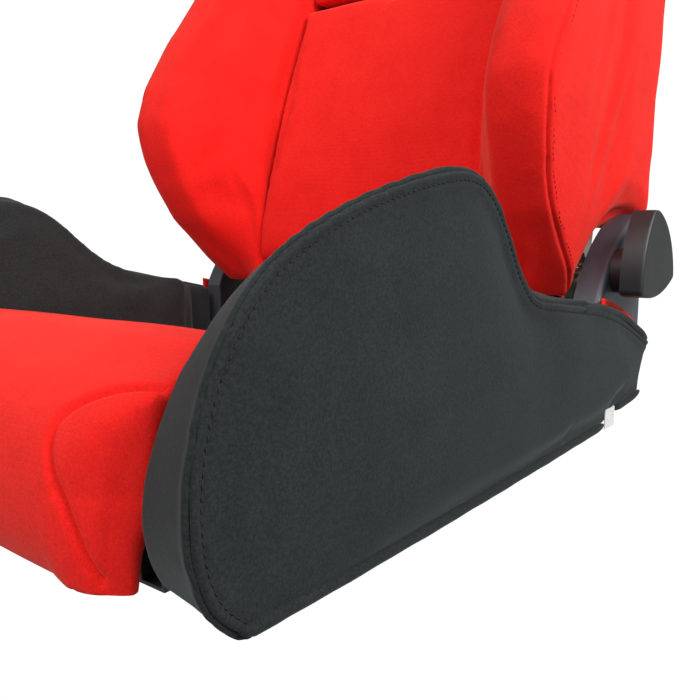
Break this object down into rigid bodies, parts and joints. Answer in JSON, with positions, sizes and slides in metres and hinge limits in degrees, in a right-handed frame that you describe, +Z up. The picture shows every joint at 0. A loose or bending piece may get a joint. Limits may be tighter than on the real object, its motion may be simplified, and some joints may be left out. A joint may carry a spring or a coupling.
{
  "type": "reclining sport seat",
  "caption": "Reclining sport seat with a low padded base, high side bolsters, a winged backrest with belt slots, and a release lever at one side.",
  "frame": {"origin": "centre of the four mounting holes, on the plane that the base rails stand on", "axes": "+Z up, -Y towards the front of the seat (the way the sitter faces), +X towards the sitter's left, the side with the recline lever"},
  "size_m": [0.542, 0.7615, 0.886],
  "materials": {
    "frame_steel": "satin black powder coat",
    "spring_steel": "drawn wire, lightly oiled",
    "zinc_steel": "zinc plated, dull",
    "bronze": "sintered, dull",
    "felt": "pressed felt, matt",
    "red_fabric": "brushed knit, matt",
    "charcoal_fabric": "fine knit, matt",
    "cover_plastic": "fine grain, satin",
    "lever_plastic": "fine grain, satin",
    "panel_plastic": "grained, matt",
    "label": "white woven tape, blank"
  },
  "bodies": {
    "seat_base": {"base_rail_left": "frame_steel", "base_rail_right": "frame_steel", "front_tube": "frame_steel", "middle_tube": "frame_steel", "rear_tube": "frame_steel", "mount_nuts": "zinc_steel", "seat_springs": "spring_steel", "seat_spring_clips": "panel_plastic", "spring_felt": "felt", "seat_cushion": "red_fabric", "thigh_pad_left": "red_fabric", "thigh_pad_right": "red_fabric", "side_bolster_left": "charcoal_fabric", "side_bolster_right": "charcoal_fabric", "bolster_support_left": "frame_steel", "bolster_support_right": "frame_steel", "cushion_skirt_left": "red_fabric", "cushion_skirt_right": "red_fabric", "care_label": "label", "recliner_bracket_left": "frame_steel", "recliner_bracket_right": "frame_steel", "keeper_plate_left": "zinc_steel", "keeper_plate_right": "zinc_steel", "pivot_sleeves": "zinc_steel", "pawl_pins": "zinc_steel", "recliner_cover_left": "cover_plastic", "recliner_cover_right": "cover_plastic", "bracket_bolts": "zinc_steel", "return_springs": "spring_steel"},
    "backrest": {"back_plate_left": "zinc_steel", "back_plate_right": "zinc_steel", "pivot_bushes": "bronze", "back_hoop": "frame_steel", "hoop_bolts": "zinc_steel", "back_lower_tube": "frame_steel", "back_upper_tube": "frame_steel", "back_springs": "spring_steel", "back_lower_pad": "red_fabric", "back_upper_pad": "red_fabric", "back_roll_pad": "red_fabric", "back_wing_left": "red_fabric", "back_wing_right": "red_fabric", "head_pad": "red_fabric", "back_panel": "charcoal_fabric", "belt_guide_left": "panel_plastic", "belt_guide_right": "panel_plastic"},
    "release_lever": {"recline_lever": "lever_plastic", "cam_shaft_left": "zinc_steel", "cam_left": "zinc_steel", "cam_crank_left": "zinc_steel"},
    "right_cam": {"cam_shaft_right": "zinc_steel", "cam_right": "zinc_steel", "cam_crank_right": "zinc_steel"},
    "sync_rod": {"sync_rod": "zinc_steel", "rod_crank_left": "zinc_steel", "rod_crank_right": "zinc_steel"},
    "link_left": {"release_link_left": "zinc_steel"},
    "link_right": {"release_link_right": "zinc_steel"},
    "pawl_left": {"pawl_left": "zinc_steel"},
    "pawl_right": {"pawl_right": "zinc_steel"}
  },
  "joints": [
    {"name": "recline", "type": "hinge", "parent": "seat_base", "child": "backrest", "pos_m": [0, 0.282, 0.114], "axis": [-1, 0, 0], "range_deg": [-18, 55]},
    {"name": "lever_turn", "type": "hinge", "parent": "seat_base", "child": "release_lever", "pos_m": [0, 0.24, 0.143], "axis": [1, 0, 0], "range_deg": [0, 25], "stiffness_Nm_per_rad": 1.2, "springref_deg": -20.05},
    {"name": "right_cam_turn", "type": "hinge", "parent": "seat_base", "child": "right_cam", "pos_m": [0, 0.24, 0.143], "axis": [1, 0, 0], "range_deg": [0, 25]},
    {"name": "sync_rod_turn", "type": "hinge", "parent": "seat_base", "child": "sync_rod", "pos_m": [0, 0.282, 0.114], "axis": [1, 0, 0], "range_deg": [0, 25]},
    {"name": "left_link_swing", "type": "hinge", "parent": "release_lever", "child": "link_left", "pos_m": [0, 0.246, 0.15339], "axis": [1, 0, 0], "range_deg": [-25, 0]},
    {"name": "right_link_swing", "type": "hinge", "parent": "right_cam", "child": "link_right", "pos_m": [0, 0.246, 0.15339], "axis": [1, 0, 0], "range_deg": [-25, 0]},
    {"name": "left_pawl_swing", "type": "hinge", "parent": "seat_base", "child": "pawl_left", "pos_m": [0, 0.2425, 0.108], "axis": [1, 0, 0], "range_deg": [0, 2.5]},
    {"name": "right_pawl_swing", "type": "hinge", "parent": "seat_base", "child": "pawl_right", "pos_m": [0, 0.2425, 0.108], "axis": [1, 0, 0], "range_deg": [0, 2.5]}
  ],
  "couplings": [
    {"joint": "right_cam_turn", "follows": "lever_turn", "ratio": 1},
    {"joint": "sync_rod_turn", "follows": "lever_turn", "ratio": 1},
    {"joint": "left_link_swing", "follows": "lever_turn", "ratio": -1},
    {"joint": "right_link_swing", "follows": "lever_turn", "ratio": -1},
    {"joint": "left_pawl_swing", "follows": "lever_turn", "ratio": 0.1},
    {"joint": "right_pawl_swing", "follows": "lever_turn", "ratio": 0.1}
  ]
}
